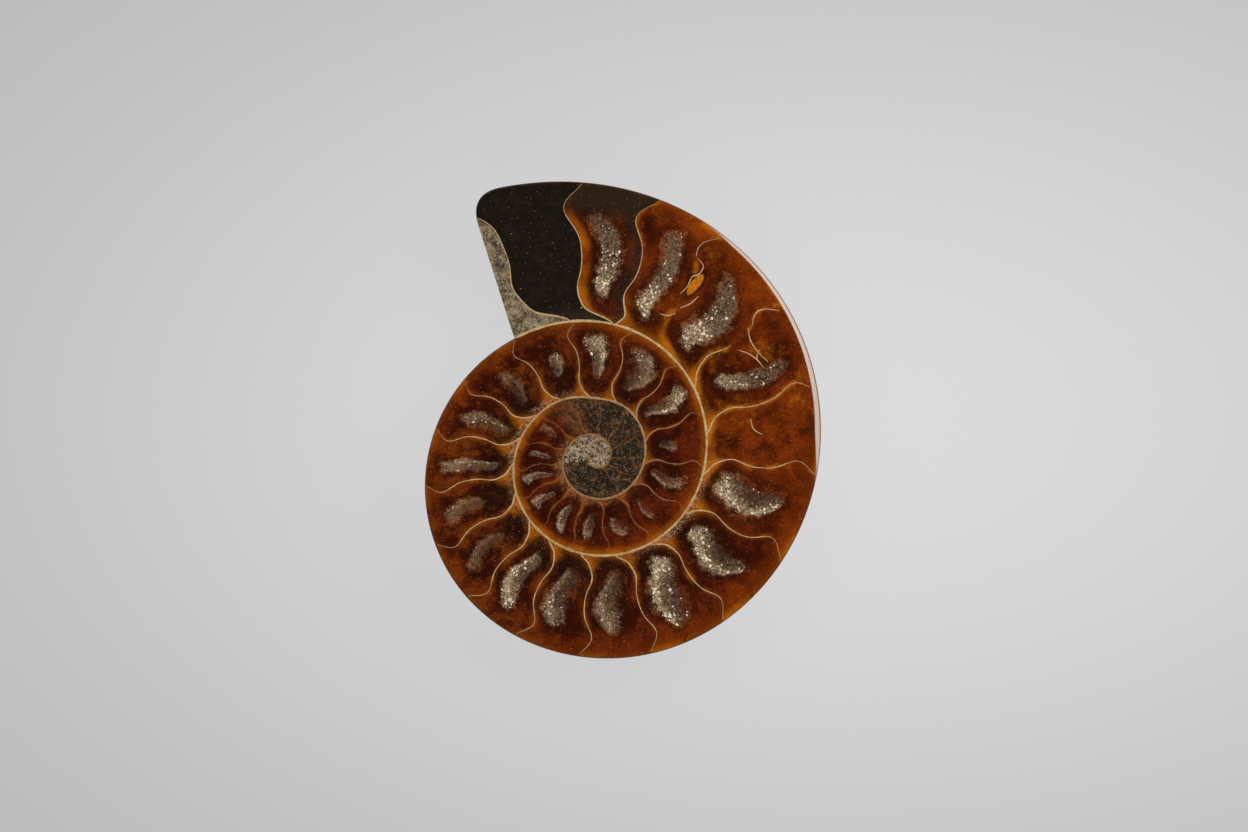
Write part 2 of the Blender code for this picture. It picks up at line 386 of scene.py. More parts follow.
def pocket_drift(index, u, v):
    """Share of pale crystals, partly their own paleness and partly painted light on the pocket's lit wall:
    they lie along a pocket's older side and at one of its ends.
    """
    outer_end, inner_end = 0.8 * bump(v, 0.6, 0.5), 0.9 * bump(v, -0.75, 0.4)
    drift = bump(u, -0.7, 0.45) + np.where(index < PALE_INSIDE_FROM, outer_end, inner_end)
    return np.clip(np.where(index >= PLAIN_CHAMBER, 0.30 + 0.7 * bump(v, -0.75, 0.5), drift), 0, 1)


def past_septum(number, turned, across, degree):
    """Distance beyond a septum, negative before it."""
    start = septum_angle(np.full(np.shape(turned), number), np.clip(across, 0, 1))
    return np.clip((turned - start) * degree, -2, 2)


def wedge_depth(x, y):
    """1 at the middle of the amber wedge, 0 at its edge and less outside."""
    turn = math.radians(WEDGE_TURN)
    x, y = x - WEDGE_AT[0], y - WEDGE_AT[1]
    along, across = x * math.cos(turn) + y * math.sin(turn), y * math.cos(turn) - x * math.sin(turn)
    return np.clip(1 - np.hypot(along / WEDGE_HALF[0], across / WEDGE_HALF[1]), -1, 1)


def face_fields(x, y):
    """Everything that the polished face's material and relief need to know at each point."""
    turned, across, inner, outer = whorl_place(x, y)
    index, along, length = chamber_place(turned, across)
    degree = np.radians(1) * np.hypot(x, y)  # length of a degree of coiling
    whole = np.where(along < 0, 0.5, along)
    light, u, v = pocket_place(index, along, across)
    crystalline = (index >= GREY_CHAMBERS) & (turned > SEPTA[GREY_CHAMBERS] - 4) & (along > 0) & (light > 0)
    pocket = 1 - (np.abs(u) ** 2.2 + np.abs(v) ** 7) ** (1 / 2.4)
    fading = 0.55 * smoothstep(-0.1, 0.9, u) * np.where(index >= PLAIN_CHAMBER, 0.25, 1.0)
    # Near the mouth the calcite is warmer all through; the older part of the last whorl is darkest.
    warm = 0.42 * smoothstep(1035, 1085, turned) * (1 - smoothstep(1150, 1170, turned))
    warm = warm + swell(turned, WARM_CALCITE)
    return {
        "turned": turned / 360,
        "septum_near": np.minimum(np.abs(whole), np.abs(1 - whole)) * length * degree,
        "septum_side": np.where(whole < 0.5, whole, whole - 1),
        "wall_near": np.minimum(across, 1 - across) * (outer - inner),
        "wall_side": np.where(across < 0.5, across, across - 1),
        "pocket": np.where(crystalline, pocket, -2.0),
        "light": light,
        "drift": pocket_drift(index, u, v),
        "fill": 1 - fading,
        "clear": np.clip(0.18 + swell(turned, CLEAR_AMBER), 0, 1.2),
        "gritty": np.clip(swell(turned, GRITTY_CORNERS), 0, 1),
        "warm": warm,
        "dark": (0.35 + swell(turned, DARK_CALCITE)) * (1 - warm),
        "brown": np.maximum(swell(turned, BROWN_POCKETS), 0.8 * (1 - smoothstep(690, 830, turned))),
        "grey": 1 - smoothstep(GREY_FROM, GREY_TO, turned),
        "past_black": past_septum(LAST_SEPTUM - 2, turned, across, degree),
        "past_stone": past_septum(LAST_SEPTUM - 1, turned, across, degree),
        "past_last": past_septum(LAST_SEPTUM, turned, across, degree),
        "wedge": wedge_depth(x, y),
    }


# ---- meshes ------------------------------------------------------------------------------------------------

def make_piece(name, points, faces, material, values, smooth=True):
    placed = (np.array(points, float) + np.array([AXIS_X, AXIS_Y, 0])) * MM
    mesh = bpy.data.meshes.new(name)
    mesh.from_pydata(placed.tolist(), [], faces)
    for key, value in values.items():
        mesh.attributes.new(key, "FLOAT", "POINT").data.foreach_set("value", np.asarray(value, np.float32))
    mesh.materials.append(material)
    if smooth:
        mesh.shade_smooth()
    mesh.update()
    piece = bpy.data.objects.new(name, mesh)
    bpy.context.scene.collection.objects.link(piece)
    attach(piece, BODY)
    return piece


def disc_points(radii):
    """x and y of rings of points about the coiling axis, and of the axis itself."""
    x, y = from_axis(radii, ANGLES)
    return np.append(x.ravel(), 0.0), np.append(y.ravel(), 0.0)


def over_disc(rings, values, at_axis=0.0):
    """A value for each point of a disc, from one for each column or for each point of its rings."""
    return np.append(np.broadcast_to(values, (rings, len(ANGLES))).ravel(), at_axis)


def disc_faces(rings, flipped=False):
    """Quads between closed rings stored one after another, and a fan from the last ring to the axis."""
    around = len(ANGLES)
    ring, column = np.meshgrid(np.arange(rings - 1), np.arange(around), indexing="ij")
    here, beside = ring * around + column, ring * around + (column + 1) % around
    quads = np.stack([here, beside, beside + around, here + around], -1).reshape(-1, 4)
    last = (rings - 1) * around
    faces = quads.tolist() + [[last + c, last + (c + 1) % around, rings * around] for c in range(around)]
    return [face[::-1] for face in faces] if flipped else faces


def wave_noise(x, y, scale, seed):
    """Smooth repeatable unevenness between -1 and 1, from a few crossing waves."""
    waves = np.random.RandomState(seed)
    total = np.zeros_like(x)
    for _ in range(7):
        direction, shift = waves.uniform(0, 2 * math.pi, 2)
        rate = scale * waves.uniform(0.6, 1.5)
        total = total + np.sin(rate * (x * math.cos(direction) + y * math.sin(direction)) + shift)
    return total / 7 * 1.6


def sunken(pocket, light):
    """How deep the floor of a pocket lies, as a share of the deepest."""
    return smoothstep(-0.05, 0.75, pocket) * light


def build_face(material):
    """The polished cut face with its bevelled edge: sunken crystal pockets in a flat, glossy plane."""
    bevel_share = np.linspace(1, 0, BEVEL_RINGS, endpoint=False)
    radii = [EDGE - BEVEL * (1 - share) for share in bevel_share]
    depths = [BEVEL * BEVEL_DROP * share ** BEVEL_ROUND for share in bevel_share]
    radii += [CORE_RADIUS + (EDGE - BEVEL - CORE_RADIUS) * share
              for share in np.linspace(1, 0, FACE_OUTER_RINGS, endpoint=False)]
    core = np.linspace(CORE_RADIUS, 0, FACE_CORE_RINGS, endpoint=False)
    radii += [np.full_like(EDGE, radius) for radius in core]
    depths += [np.zeros_like(EDGE)] * (FACE_OUTER_RINGS + FACE_CORE_RINGS)
    radii, rings = np.array(radii), len(radii)
    x, y = disc_points(radii)
    fields = face_fields(x, y)
    sunk = sunken(fields["pocket"] + 0.10 * wave_noise(x, y, 3.2, 5), fields["light"])
    rough = 0.10 * wave_noise(x, y, 15, 6) + 0.05 * wave_noise(x, y, 27, 8)
    depth = over_disc(rings, np.array(depths)) + sunk * (DRUSE_DEPTH + rough)
    fields["bevel"] = over_disc(rings, np.clip(1 - (EDGE - radii) / BEVEL, 0, 1))
    fields["ground"] = over_disc(rings, np.clip((BEVEL - EDGE_BEVEL) / WIDE_BEVEL_END, 0, 1))
    points = np.stack([x, y, FACE - depth], -1)
    piece = make_piece("polished_face", points, disc_faces(rings), material, fields)
    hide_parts(NODE)


def flank_shape(across):
    """Depth of one whorl as a share of its deepest, from the axis (0) to the venter (1)."""
    fall = np.clip((across - CREST_OUTER) / (1 - CREST_OUTER), 0, 1)
    venter = (1 - fall ** VENTER_POWER) ** VENTER_ROUND
    return np.where(across > CREST_OUTER, venter, smoothstep(CREST_INNER - SHOULDER, CREST_INNER, across))


def flank_depth(x, y, edge):
    """Depth of the natural flank below the cut face, and where in the coil its deepest whorl is."""
    radius, angle = about_axis(x, y)
    depth = UMBILICUS_FLOOR * THICKNESS * flank_shape(np.maximum(radius / edge, CREST_OUTER))
    turned_at, across_at = np.zeros_like(radius), radius / edge
    for turn in FLANK_TURNS:
        turned = angle + 360 * turn
        wall = whorl_radius(turned)
        level = THICKNESS * np.minimum(1, (wall / whorl_radius(LEVEL_FROM)) ** TAPER)
        if turn == FLANK_TURNS[-1]:  # the last turn ends at the mouth
            inside = np.clip(mouth_distance(x, y) / MOUTH_WALL, 0, 1)
            level = np.where(angle > 180, 0, level * np.sqrt(1 - (1 - inside) ** 2))
        this = level * flank_shape(radius / wall)
        deeper = this > depth
        turned_at, across_at = np.where(deeper, turned, turned_at), np.where(deeper, radius / wall, across_at)
        depth = np.maximum(depth, this)
    return depth, turned_at, across_at


def build_flank(material):
    """The natural outside: rounded venter, ribbed flank, umbilicus and the broken end."""
    outer_share = np.linspace(1, 0, FLANK_OUTER_RINGS, endpoint=False) ** FLANK_CROWDING
    core = np.linspace(CORE_RADIUS, 0, FLANK_CORE_RINGS, endpoint=False)
    radii = [CORE_RADIUS + (EDGE - CORE_RADIUS) * share for share in outer_share]
    radii, rings = np.array(radii + [np.full_like(EDGE, radius) for radius in core]), len(radii) + len(core)
    x, y = disc_points(radii)
    radius, angle = about_axis(x, y)
    edge, rim = over_disc(rings, EDGE, EDGE.min()), over_disc(rings, BEVEL * BEVEL_DROP)
    depth, turned, across = flank_depth(x, y, edge)
    depth = np.maximum(depth, rim + np.minimum(edge - radius, RIM_LIP))
    depth[:len(ANGLES)] = BEVEL * BEVEL_DROP

    # Faint ribs sweep forward over the venter, with finer growth lines between them and a worn surface.
    inward = smoothstep(0, 2.0, edge - radius) * smoothstep(0.1, 1.4, depth)
    sweep = turned + 9 * np.sin((across - 0.35) * 5)
    ribs = 0.5 + 0.5 * np.cos(np.radians(sweep) * RIBS)
    lines = 0.5 + 0.5 * np.cos(np.radians(sweep) * GROWTH_LINES)
    strength = smoothstep(0.32, 0.62, across) * (1 - smoothstep(0.93, 1.0, across))
    wear = 0.5 + 0.5 * wave_noise(x, y, 0.9, 12)
    pits = np.clip(wave_noise(x, y, 5.5, 14) - 0.55, 0, 1)
    relief = RIB_DEPTH * (1 - ribs) * strength + LINE_DEPTH * lines * strength
    depth = depth - inward * (relief + WEAR_DEPTH * wear + PIT_DEPTH * pits)
    points = np.stack([x, y, np.maximum(FACE - depth, TOP - THICKNESS)], -1)
    broken = (1 - smoothstep(0.0, BROKEN_FACE, mouth_distance(x, y))) * (angle < MOUTH_ANGLE + 6) * (y > 0)
    broken = broken * (radius > whorl_radius(angle + 360) * 0.98)
    values = {"ribs": ribs * strength, "lines": lines * strength, "broken": broken}
    make_piece("natural_flank", points, disc_faces(rings, flipped=True), material, values)


def fin(points, normals, widths, proud, buried):
    """Closed strip along a line on the face: a low rounded crest above it, and straight sides below it."""
    rows = []
    for (px, py), (nx, ny), width in zip(points, normals, widths):
        for side, rise in CREST_SECTION:
            z = FACE + (proud * rise if rise > 0 else -buried)
            rows.append((px + nx * side * width, py + ny * side * width, z))
    count, ring = len(points), len(CREST_SECTION)
    faces = []
    for i in range(count - 1):
        for j in range(ring):
            a, b = i * ring + j, i * ring + (j + 1) % ring
            faces.append([a, a + ring, b + ring, b])
    faces.append(list(range(ring)))
    faces.append([(count - 1) * ring + j for j in reversed(range(ring))])
    return rows, faces


def line_normals(points):
    along = np.gradient(points, axis=0)
    along /= np.maximum(np.linalg.norm(along, axis=1, keepdims=True), 1e-9)
    return np.stack([-along[:, 1], along[:, 0]], -1)


def spiral_points(turned, across):
    """Points at a share across the whorl that ends at each degree of coiling."""
    inner = whorl_radius(turned - 360)
    return np.stack(from_axis(inner + (whorl_radius(turned) - inner) * across, turned), -1)


def inside_face(points):
    """Whether each point lies on the polished plane, clear of its bevelled edge."""
    radius, angle = about_axis(points[:, 0], points[:, 1])
    angle = (angle - MOUTH_ANGLE) % 360 + MOUTH_ANGLE
    return radius < outline_radius(angle) - bevel_width(angle) - FACE_MARGIN


def join_fins(name, lines, material, proud):
    """One piece from several lines, each with its points, its widths and how grown the shell is."""
    rows, faces, age = [], [], []
    for points, widths, grown in lines:
        more, sides = fin(points, line_normals(points), widths, proud, SEPTUM_DEPTH)
        faces += [[v + len(rows) for v in face] for face in sides]
        age += np.repeat(np.broadcast_to(grown, len(points)), len(CREST_SECTION)).tolist()
        rows += more
    make_piece(name, rows, faces, material, {"age": age})


def build_septa(material):
    """The thin bent walls between the chambers, paler and thicker in the outer whorls."""
    across = np.linspace(0.0, 1.0, SEPTUM_POINTS)
    outward = smoothstep(0.55, 1.0, across)  # they thin out and darken towards the venter
    lines = []
    for index, angle in enumerate(SEPTA):
        points = spiral_points(septum_angle(np.full(len(across), index), across), across)
        grown = np.clip((angle - SEPTA_FAINT) / (SEPTA_STRONG - SEPTA_FAINT), 0, 1)
        width = SEPTUM_INNER_WIDTH + (SEPTUM_WIDTH - SEPTUM_INNER_WIDTH) * grown
        widths = width * (0.80 + 0.45 * bump(across, 0.10, 0.16) + 0.12 * np.sin(across * 21 + index))
        widths = widths * (1 - 0.30 * outward)
        keep = inside_face(points)
        if index == BROKEN_SEPTA[0]:
            keep &= across < INNER_STUB
            widths = widths * (1.1 - across)
        if index == BROKEN_SEPTA[1]:
            keep &= across > OUTER_STUB
        for run in np.split(np.arange(len(across)), np.flatnonzero(np.diff(keep.astype(int))) + 1):
            if keep[run[0]] and len(run) > 3:
                lines.append((points[run], widths[run], (grown * (1 - 0.50 * outward))[run]))
    join_fins("septa", lines, material, PROUD)


def build_shell_wall(material):
    """The cream wall between one whorl and the next, up to where it becomes the outside."""
    turned = np.arange(WALL_START, WALL_END, WALL_STEP)
    points = np.stack(from_axis(whorl_radius(turned), turned), -1)
    share = np.clip(turned / turned[-1], 0, 1)
    uneven = 1 + 0.14 * np.sin(turned * 0.31) + 0.10 * np.sin(turned * 0.83 + 1) + 0.08 * np.sin(turned * 2.7)
    widths = (WALL_INNER_WIDTH + (WALL_WIDTH - WALL_INNER_WIDTH) * share ** 0.8) * uneven
    widths = widths * (0.45 + 0.55 * smoothstep(WALL_START, 90, turned))
    keep = inside_face(points)
    grown = 0.30 + 0.70 * share[keep] ** 1.5
    join_fins("shell_wall", [(points[keep], widths[keep], grown)], material, WALL_PROUD)


def smooth_line(corners, steps):
    """Curve through every corner, with points evenly shared between them."""
    corners = np.array(corners, float)
    padded = np.vstack([2 * corners[0] - corners[1], corners, 2 * corners[-1] - corners[-2]])
    pieces = []
    for i in range(1, len(padded) - 2):
        t = np.linspace(0, 1, steps, endpoint=i == len(padded) - 3)[:, None]
        before, start, end, after = padded[i - 1:i + 3]
        square, cube = 2 * before - 5 * start + 4 * end - after, 3 * start - before - 3 * end + after
        pieces.append(0.5 * (2 * start + (end - before) * t + square * t ** 2 + cube * t ** 3))
    return np.vstack(pieces)


def build_shards(material):
    """Pieces of broken septum, each thickest at its middle."""
    lines = []
    for corners in SHARDS:
        points = smooth_line(corners, SHARD_STEPS)
        along = np.linspace(0, 1, len(points))
        widths = SHARD_WIDTH * (0.3 + 0.7 * np.sin(np.pi * (0.08 + 0.84 * along)))
        lines.append((points, widths, SHARD_AGE))
    join_fins("septum_shards", lines, material, PROUD)


def crystal_places(rng):
    """Where crystals grow, and at each the pocket's light and depth and how pale, grown and brown it is."""
    low, high = np.array([EDGE_X.min(), EDGE_Y.min()]), np.array([EDGE_X.max(), EDGE_Y.max()])
    places = rng.uniform(low, high, (int(np.prod(high - low) * CRYSTALS_PER_MM2), 2))
    places = places[inside_face(places)]
    count, (x, y) = len(places), places.T
    fields = face_fields(x, y)
    light, drift = fields["light"], fields["drift"]
    ragged = fields["pocket"] + 0.22 * wave_noise(x, y, 3.2, 5) + 0.15 * wave_noise(x, y, 7.5, 9)
    patches = 0.5 + 0.5 * wave_noise(x, y, 1.9, 23)

    # Mostly dull grains, with clusters of clean white points that are partly white crystals and partly
    # painted glints
    sparkle = np.zeros(count)
    for centre in np.flatnonzero((rng.rand(count) < 0.003 + 0.13 * drift ** 2) & (ragged > -0.15)):
        reach = rng.uniform(0.18, 0.62)
        sparkle += bump(np.hypot(*(places - places[centre]).T), 0, reach) * rng.uniform(0.4, 1.0)
    chance = rng.rand(count)
    dull = (0.12 + 0.24 * patches + 0.46 * drift) * chance
    bright = (rng.rand(count) < 0.06 + 0.94 * np.clip(1.3 * sparkle, 0, 1)) * (0.45 + 0.55 * light)
    pale = np.where(bright > 0, bright * (0.55 + 0.45 * chance), dull * (0.55 + 0.55 * light))
    grown = smoothstep(1.9, 2.3, fields["turned"])  # they are smaller and duller in the inner whorls
    pale = pale * (0.72 + 0.28 * grown)

    # They thin out towards the edges of a pocket, and a few stray outside it.
    density = smoothstep(-0.35, 0.35, ragged) * (0.07 + 0.80 * light ** 1.2) * (0.15 + 0.85 * fields["fill"])
    density = density + 0.012 * (ragged > -1.2)
    chosen = (fields["pocket"] > -1.6) & (light > 0) & (rng.rand(count) < density)
    return zip(*(values[chosen] for values in (x, y, light, ragged, pale, grown, fields["brown"])))


def crystal(rng, x, y, light, depth, pale, grown):
    """Corners and faces of one pointed crystal with four or six sides, its tip below the polished plane."""
    size = (CRYSTAL_SIZE[0] + (CRYSTAL_SIZE[1] - CRYSTAL_SIZE[0]) * rng.rand() ** 2) * (0.65 + 0.75 * pale)
    size *= 0.65 + 0.35 * grown
    sunk = float(sunken(depth, light)) * DRUSE_DEPTH
    tip = np.array([rng.normal(0, 0.35), rng.normal(0, 0.35), 1.0])
    tip /= np.linalg.norm(tip)
    height = min(size * rng.uniform(0.3, 0.7), sunk + 0.05)
    turn, sides = rng.uniform(0, 2 * math.pi), 6 if rng.rand() < 0.5 else 4
    corners, faces = [], []
    foot, peak = sides, sides + 1
    for k in range(sides):
        a = turn + 2 * math.pi * k / sides
        wide = size * 0.5 * rng.uniform(0.75, 1.15)
        corners.append((x + wide * math.cos(a), y + wide * math.sin(a), FACE - sunk - CRYSTAL_FOOT))
        faces += [[k, (k + 1) % sides, peak], [(k + 1) % sides, k, foot]]
    corners.append((x, y, FACE - sunk - CRYSTAL_ROOT))
    corners.append((x + tip[0] * height, y + tip[1] * height, FACE - sunk + tip[2] * height))
    return corners, faces


def build_crystals(material):
    """Pointed calcite crystals that line the pockets."""
    rng = np.random.RandomState(RANDOM_SEED + 1)
    rows, faces, glow, browned = [], [], [], []
    for x, y, light, depth, pale, grown, brown in crystal_places(rng):
        corners, sides = crystal(rng, x, y, light, depth, pale, grown)
        faces += [[v + len(rows) for v in face] for face in sides]
        rows += corners
        glow += [pale] * len(corners)
        browned += [brown] * len(corners)
    rows = np.array(rows)
    rows[:, 2] = np.minimum(rows[:, 2], FACE - CRYSTAL_HEADROOM)
    make_piece("druse_crystals", rows, faces, material, {"glow": glow, "brown": browned}, smooth=False)


# ---- materials ---------------------------------------------------------------------------------------------

class Value:
    """A number that varies over a surface: arithmetic on it adds Math nodes."""

    def __init__(self, paint, socket):
        self.paint, self.socket = paint, socket

    def maths(self, operation, other=None, reflected=False, clamp=False):
        first, second = (other, self) if reflected else (self, other)
        inputs = {0: first} if second is None else {0: first, 1: second}
        made = self.paint.node("Math", {"operation": operation, "use_clamp": clamp}, inputs)
        return Value(self.paint, made.outputs[0])

    def __add__(self, other):
        return self.maths("ADD", other)

    def __radd__(self, other):
        return self.maths("ADD", other, reflected=True)

    def __sub__(self, other):
        return self.maths("SUBTRACT", other)

    def __rsub__(self, other):
        return self.maths("SUBTRACT", other, reflected=True)

    def __mul__(self, other):
        return self.maths("MULTIPLY", other)

    def __rmul__(self, other):
        return self.maths("MULTIPLY", other, reflected=True)

    def __truediv__(self, other):
        return self.maths("DIVIDE", other)

    def clamp(self):
        return self.maths("ADD", 0.0, clamp=True)


class Paint:
    """One material's nodes."""

    def __init__(self, name):
        self.material = bpy.data.materials.new(name)
        self.material.use_nodes = True
        self.tree = self.material.node_tree
        self.shader = self.tree.nodes["Principled BSDF"]

    def node(self, kind, settings=None, inputs=None):
        made = self.tree.nodes.new("ShaderNode" + kind)
        for key, value in (settings or {}).items():
            setattr(made, key, value)
        for key, value in (inputs or {}).items():
            self.feed(made.inputs[key], value)
        return made

    def feed(self, socket, value):
        if isinstance(value, Value):
            value = value.socket
        if isinstance(value, bpy.types.NodeSocket):
            self.tree.links.new(value, socket)
        elif isinstance(value, tuple) and socket.type == "RGBA":
            socket.default_value = (*value, 1.0)
        else:
            socket.default_value = value

    def attribute(self, name):
        return Value(self, self.node("Attribute", {"attribute_name": name}).outputs["Fac"])

    def attributes(self, *names):
        return [self.attribute(name) for name in names]

    def noise(self, scale, detail=4.0, roughness=0.55):
        """Soft unevenness around 0.5; scale is features per millimetre."""
        place = self.node("TexCoord").outputs["Object"]
        made = self.node("TexNoise", None, {"Vector": place, "Scale": scale / MM, "Detail": detail,
                                            "Roughness": roughness})
        return Value(self, made.outputs["Fac"])

    def place(self):
        """Coordinates on the object, across and along the table."""
        split = self.node("SeparateXYZ", None, {0: self.node("TexCoord").outputs["Object"]})
        return Value(self, split.outputs[0]), Value(self, split.outputs[1])

    def cells(self, scale):
        """0 at scattered points and more away from them; scale is points per millimetre."""
        place = self.node("TexCoord").outputs["Object"]
        made = self.node("TexVoronoi", None, {"Vector": place, "Scale": scale / MM})
        return Value(self, made.outputs["Distance"])

    def ramp(self, value, low, high):
        """0 at low and below, 1 at high and above, smooth between."""
        made = self.node("MapRange", {"interpolation_type": "SMOOTHSTEP"},
                         {"Value": value, "From Min": low, "From Max": high})
        return Value(self, made.outputs["Result"])

    def mix(self, share, under, over):
        made = self.node("Mix", {"data_type": "RGBA"}, {0: share, 6: under, 7: over})
        return made.outputs[2]

    def bump(self, height, distance):
        made = self.node("Bump", None, {"Strength": 1.0, "Distance": distance * MM, "Height": height})
        self.feed(self.shader.inputs["Normal"], made.outputs["Normal"])

    def finish(self, colour, roughness, **constants):
        self.feed(self.shader.inputs["Base Color"], colour)
        self.feed(self.shader.inputs["Roughness"], roughness)
        for name, value in constants.items():
            self.shader.inputs[name.replace("_", " ")].default_value = value
        return self.material


def linear(red, green, blue):
    """Linear colour from display values of 0 to 255."""
    shown = [level / 255 for level in (red, green, blue)]
    return tuple(((c + 0.055) / 1.055) ** 2.4 if c > 0.04045 else c / 12.92 for c in shown)


def blend(share, under, over):
    """A share of one colour over another."""
    return tuple(a + (b - a) * share for a, b in zip(under, over))


DEEP_MAROON = linear(54, 14, 4)
MAROON = linear(92, 30, 7)
NEAR_BLACK = linear(30, 14, 8)
ORANGE_BROWN = linear(142, 58, 7)
GOLDEN_BROWN = linear(132, 68, 14)
AMBER = linear(186, 104, 14)
PALE_AMBER = linear(214, 128, 20)
OCHRE = linear(128, 84, 44)
CREAM = linear(230, 200, 148)
TAN = linear(176, 138, 84)
FAINT_SHELL = blend(0.45, OCHRE, MAROON)
SHELL_SHADE = linear(142, 98, 48)
BLACK_STONE = linear(27, 22, 17)
BROWN_BLACK = linear(38, 31, 23)
VENTER_STONE = linear(44, 34, 21)
LIGHT_MATRIX = linear(190, 170, 140)
GREY_MATRIX = linear(134, 116, 90)
DARK_MATRIX = linear(58, 47, 34)
DARK_GRAIN = linear(38, 29, 20)
POCKET_DARK = linear(44, 31, 19)
POCKET_MID = linear(106, 82, 56)
HONEY_GREY = linear(120, 82, 38)
PALE_GRAIN = linear(222, 194, 152)
# Partly white calcite, partly painted glints on the crystal faces.
SPARKLE = linear(248, 230, 200)
RIM_BROWN = linear(152, 104, 66)
MOTE_BROWN = linear(150, 88, 46)
EDGE_BROWN = linear(84, 56, 26)
FROSTED_HIGHLIGHT = linear(222, 208, 196)
FLANK_BROWN = linear(112, 84, 58)
FLANK_DARK = linear(66, 46, 32)
FLANK_TAN = linear(164, 138, 104)
TABLE_MIDDLE, TABLE_EDGE = linear(210, 210, 211), linear(166, 166, 168)
TABLE_PAINTED_SHADOW, TABLE_GREY = linear(96, 96, 98), linear(70, 70, 70)


class CutFace(Paint):
    """The polished face, with the attributes, noises and masks that its layers share."""

    def __init__(self):
        super().__init__("polished_calcite")
        self.near, self.side, self.wall_near, self.wall_side = self.attributes(
            "septum_near", "septum_side", "wall_near", "wall_side")
        self.turned, self.warm, self.dark, self.gritty, self.grey = self.attributes(
            "turned", "warm", "dark", "gritty", "grey")
        self.light, self.drift, self.clear = self.attributes("light", "drift", "clear")
        self.past_black, self.past_stone = self.attributes("past_black", "past_stone")
        self.cloud, self.wisp = self.noise(0.22, 3), self.noise(0.9, 5, 0.6)
        self.fine, self.grit = self.noise(3.0, 6, 0.65), self.noise(7.5, 4, 0.7)
        self.dorsal = self.ramp(self.wall_side, -0.01, 0.01)
        self.ventral = 1 - self.dorsal
        self.beyond = self.ramp(self.side, -0.01, 0.01)
        self.grown = self.ramp(self.turned, 1.9, 2.5)
        self.patchy = self.ramp(self.noise(0.34, 3, 0.6), 0.40, 0.60)


def maroon_calcite(p):
    """Maroon, warmer near the mouth, and almost black towards the wall inside it."""
    cloud, wisp, fine, turned = p.cloud, p.wisp, p.fine, p.turned
    colour = p.mix(p.ramp(cloud + (wisp - 0.5) * 0.6 + (fine - 0.5) * 0.2, 0.38, 0.66), DEEP_MAROON, MAROON)
    warmed = p.warm * p.ramp(cloud + (wisp - 0.5) * 0.4 + (fine - 0.5) * 0.3, 0.22, 0.74)
    colour = p.mix(warmed.clamp(), colour, ORANGE_BROWN)
    older_whorl = p.ramp(turned, 2.2, 2.35) * (1 - p.ramp(turned, 2.62, 2.78))
    brownish = p.ramp(wisp + (cloud - 0.5) * 0.8 + (fine - 0.5) * 0.5, 0.42, 0.70)
    colour = p.mix(older_whorl * brownish * 0.42, colour, GOLDEN_BROWN)
    shade = p.ramp(p.wall_near, 0.1, 0.6) * (1 - p.ramp(p.wall_side + (wisp - 0.5) * 0.2, 0.16, 0.48))
    return p.mix(p.dorsal * shade * p.dark * 0.92, colour, NEAR_BLACK)


def clear_venter(p, colour):
    """Under the venter the calcite clears to orange, most of all just beyond a septum."""
    cloud, wisp, ventral, clear = p.cloud, p.wisp, p.ventral, p.clear
    band = ventral * p.ramp(p.wall_side + (wisp - 0.5) * 0.22 + (cloud - 0.5) * 0.25, -0.30, -0.02)
    lit = p.beyond * (1 - p.ramp(p.side + (wisp - 0.5) * 0.3, 0.22, 0.5)) + (1 - p.beyond) * 0.22
    colour = p.mix((band * clear * (0.35 + 0.65 * lit)).clamp(), colour, ORANGE_BROWN)
    lit = (lit + (1 - p.ramp(p.turned, 2.2, 2.4)) * 0.45).clamp()
    edge_glow = ventral * (1 - p.ramp(p.wall_near + (wisp - 0.5) * 1.1, 0.05, 1.1)) * lit
    colour = p.mix((edge_glow * clear * 0.9).clamp(), colour, AMBER)
    spots = p.warm * p.ramp(p.noise(0.30, 4, 0.65) + (p.fine - 0.5) * 0.2, 0.54, 0.74)
    return p.mix(spots * 0.9, colour, AMBER)


def amber_by_septa(p, colour):
    """Orange lies along the septa, and amber fills the corners beyond them at the inner wall."""
    near, wall_near, wisp, fine = p.near, p.wall_near, p.wisp, p.fine
    warm, grown, beyond = p.warm, p.grown, p.beyond
    reach = near * (2.2 - grown * 1.2) + (wisp - 0.5) * 0.9 + (fine - 0.5) * 0.35
    fringe = (1 - p.ramp(reach, 0.02, 0.75)) * (0.06 + 0.80 * p.patchy) * (1 - p.ventral * 0.45)
    colour = p.mix(fringe, colour, GOLDEN_BROWN)
    vivid = (1 - p.ramp(reach, 0.0, 0.55)) * p.ramp(p.patchy + (p.cloud - 0.5), 0.55, 1.0)
    colour = p.mix((vivid * (0.20 + warm)).clamp(), colour, AMBER)
    rooted = p.dorsal * p.ramp(p.turned, 1.25, 1.6)
    lining = rooted * (1 - p.ramp(wall_near * (1 - warm * 0.5) + (wisp - 0.5) * 0.9, 0.15, 0.95))
    colour = p.mix((lining * (0.25 + 0.35 * beyond + warm)).clamp(), colour, GOLDEN_BROWN)
    apart = (near * 0.6 + wall_near * 0.6) * (1.35 - grown * 0.5)
    corner = rooted * (1 - p.ramp(apart + (wisp - 0.5) * 0.9 - p.gritty * 0.35, 0.50, 1.45))
    older = (beyond + warm * 2).clamp()
    resin = p.mix(p.ramp(wisp * 0.6 + fine * 0.6 + warm * 0.3, 0.42, 0.72), GOLDEN_BROWN, AMBER)
    return p.mix((corner * (0.12 + 0.88 * older) * (0.5 + 0.5 * grown)).clamp(), colour, resin)


